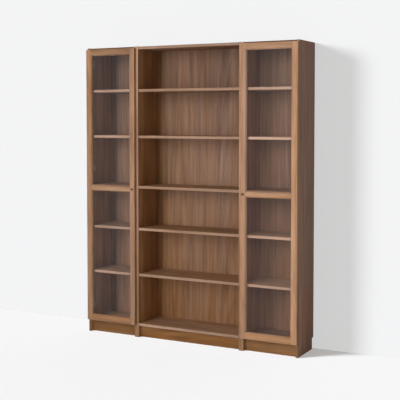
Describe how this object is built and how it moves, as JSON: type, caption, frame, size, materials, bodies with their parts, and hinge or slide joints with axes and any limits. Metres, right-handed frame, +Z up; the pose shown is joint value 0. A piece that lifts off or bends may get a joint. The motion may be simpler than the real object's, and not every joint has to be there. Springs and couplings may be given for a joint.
{
  "type": "bookcase with glass doors",
  "caption": "Tall bookcase of joined units with adjustable shelves; the outer units are closed by framed glass doors that swing outwards",
  "frame": {"origin": "on the floor, at the middle of the overall width and of the overall depth, knobs included", "axes": "+Z up, +X to the right seen from the front, the doors and shelf fronts face -Y"},
  "size_m": [1.6, 0.3222, 2.02],
  "materials": {
    "walnut_board": "satin brown walnut look",
    "walnut_frame": "satin brown walnut look, a little lighter",
    "walnut_back": "matt brown walnut look on a thin panel",
    "glass": "clear glass",
    "steel": "nickel plated",
    "bronze": "dark bronze lacquer",
    "rubber": "translucent soft plastic"
  },
  "bodies": {
    "carcass": {"left_unit_side_l": "walnut_board", "left_unit_side_r": "walnut_board", "left_unit_top": "walnut_board", "left_unit_bottom": "walnut_board", "left_unit_plinth": "walnut_board", "left_unit_fixed_shelf": "walnut_board", "left_unit_shelf_1": "walnut_board", "left_unit_shelf_2": "walnut_board", "left_unit_shelf_3": "walnut_board", "left_unit_shelf_4": "walnut_board", "left_unit_back": "walnut_back", "centre_unit_side_l": "walnut_board", "centre_unit_side_r": "walnut_board", "centre_unit_top": "walnut_board", "centre_unit_bottom": "walnut_board", "centre_unit_plinth": "walnut_board", "centre_unit_fixed_shelf": "walnut_board", "centre_unit_shelf_1": "walnut_board", "centre_unit_shelf_2": "walnut_board", "centre_unit_shelf_3": "walnut_board", "centre_unit_shelf_4": "walnut_board", "centre_unit_back": "walnut_back", "right_unit_side_l": "walnut_board", "right_unit_side_r": "walnut_board", "right_unit_top": "walnut_board", "right_unit_bottom": "walnut_board", "right_unit_plinth": "walnut_board", "right_unit_fixed_shelf": "walnut_board", "right_unit_shelf_1": "walnut_board", "right_unit_shelf_2": "walnut_board", "right_unit_shelf_3": "walnut_board", "right_unit_shelf_4": "walnut_board", "right_unit_back": "walnut_back", "left_door_hinge_arm_low": "steel", "left_door_hinge_arm_mid": "steel", "left_door_hinge_arm_high": "steel", "right_door_hinge_arm_low": "steel", "right_door_hinge_arm_mid": "steel", "right_door_hinge_arm_high": "steel"},
    "left_door": {"left_door_frame": "walnut_frame", "left_door_glass_lower": "glass", "left_door_glass_upper": "glass", "left_door_knob": "bronze", "left_door_knob_screw": "steel", "left_door_hinge_cup_low": "steel", "left_door_hinge_cup_mid": "steel", "left_door_hinge_cup_high": "steel", "left_door_buffer_low": "rubber", "left_door_buffer_high": "rubber"},
    "right_door": {"right_door_frame": "walnut_frame", "right_door_glass_lower": "glass", "right_door_glass_upper": "glass", "right_door_knob": "bronze", "right_door_knob_screw": "steel", "right_door_hinge_cup_low": "steel", "right_door_hinge_cup_mid": "steel", "right_door_hinge_cup_high": "steel", "right_door_buffer_low": "rubber", "right_door_buffer_high": "rubber"}
  },
  "joints": [
    {"name": "left_door_swing", "type": "hinge", "parent": "carcass", "child": "left_door", "pos_m": [-0.7908, -0.13045, 1.048], "axis": [0, 0, -1], "range_deg": [0, 95]},
    {"name": "right_door_swing", "type": "hinge", "parent": "carcass", "child": "right_door", "pos_m": [0.7908, -0.13045, 1.048], "axis": [0, 0, 1], "range_deg": [0, 95]}
  ]
}
